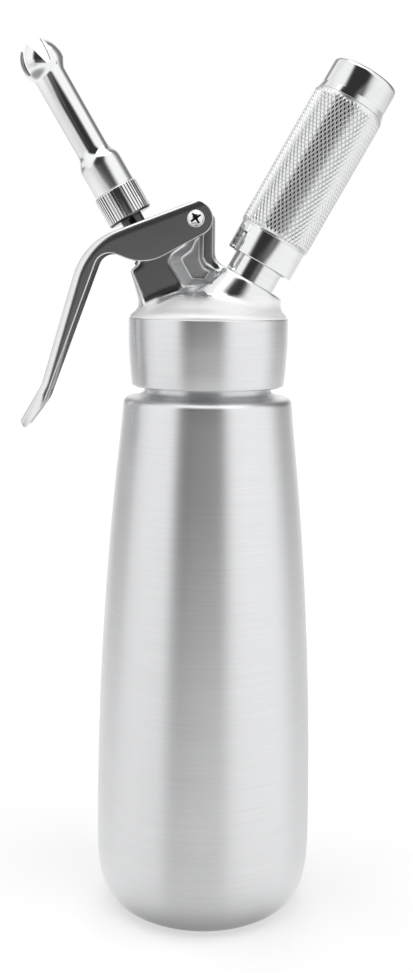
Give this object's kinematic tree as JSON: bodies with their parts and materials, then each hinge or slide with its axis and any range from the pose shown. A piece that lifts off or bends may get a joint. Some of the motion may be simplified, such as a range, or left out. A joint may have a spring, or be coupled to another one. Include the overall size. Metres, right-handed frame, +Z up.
{
  "type": "whipped cream dispenser",
  "caption": "Aluminium gas whipped cream dispenser: tapered bottle, screwed head with pivoting channel lever, leaning toothed nozzle and leaning knurled charger holder.",
  "frame": {"origin": "middle of the bottle's flat foot, on the surface it stands on", "axes": "+Z up along the bottle; the charger holder leans to +X and the nozzle and lever lean to -X; +Y is away from the pivot screw's head"},
  "size_m": [0.1306, 0.08, 0.3128],
  "materials": {
    "bottle_aluminium": "brushed, clear anodised",
    "casting_aluminium": "die cast, brushed outside",
    "pale_rubber": "matt",
    "polished_steel": "polished",
    "rubber": "matt",
    "spring_steel": "drawn wire",
    "dark_plastic": "matt",
    "polished_chrome": "mirror",
    "white_plastic": "matt",
    "brass": "turned",
    "knurled_aluminium": "satin, knurled",
    "charger_steel": "bright plated"
  },
  "bodies": {
    "base": {"bottle": "bottle_aluminium"},
    "head": {"head_casting": "casting_aluminium", "head_gasket": "pale_rubber", "stem_bush": "dark_plastic", "valve_spring": "spring_steel", "charger_stud": "polished_chrome", "stud_gasket": "rubber", "piercing_pin": "polished_steel", "pin_gasket": "rubber", "check_valve_body": "brass", "check_valve_sleeve": "rubber"},
    "lever_body": {"lever": "polished_chrome", "pivot_screw": "polished_steel", "pivot_nut": "polished_steel", "pivot_washers": "white_plastic"},
    "valve": {"valve_stem": "polished_steel", "stem_o_ring": "rubber", "valve_seal": "rubber", "valve_nut": "polished_steel", "stem_collar": "polished_steel"},
    "adapter": {"nozzle_adapter": "polished_chrome", "adapter_gasket": "rubber"},
    "nozzle_body": {"nozzle": "polished_chrome"},
    "holder": {"charger_holder": "knurled_aluminium", "holder_cap": "polished_chrome", "charger_pad": "white_plastic", "gas_charger": "charger_steel"}
  },
  "joints": [
    {"name": "head_turn", "type": "hinge", "parent": "base", "child": "head", "pos_m": [0, 0, 0.2], "axis": [0, 0, 1], "continuous": true},
    {"name": "lever_pivot", "type": "hinge", "parent": "head", "child": "lever_body", "pos_m": [-0.0047, 0, 0.2528], "axis": [0, -1, 0], "range_deg": [0, 9], "stiffness_Nm_per_rad": 1, "springref_deg": -28.65},
    {"name": "valve_slide", "type": "slide", "parent": "head", "child": "valve", "axis": [0.5075, 0, -0.8616], "range_m": [0, 0.0022], "deforming": ["valve_spring"]},
    {"name": "adapter_turn", "type": "hinge", "parent": "valve", "child": "adapter", "pos_m": [0, 0, 0.2065], "axis": [-0.5075, 0, 0.8616], "continuous": true},
    {"name": "nozzle_turn", "type": "hinge", "parent": "adapter", "child": "nozzle_body", "pos_m": [0, 0, 0.2065], "axis": [-0.5075, 0, 0.8616], "continuous": true},
    {"name": "holder_turn", "type": "hinge", "parent": "head", "child": "holder", "pos_m": [0, 0, 0.2065], "axis": [0.4879, 0, 0.8729], "continuous": true}
  ],
  "couplings": [
    {"joint": "valve_slide", "follows": "lever_pivot", "m_per_rad": 0.014006}
  ]
}
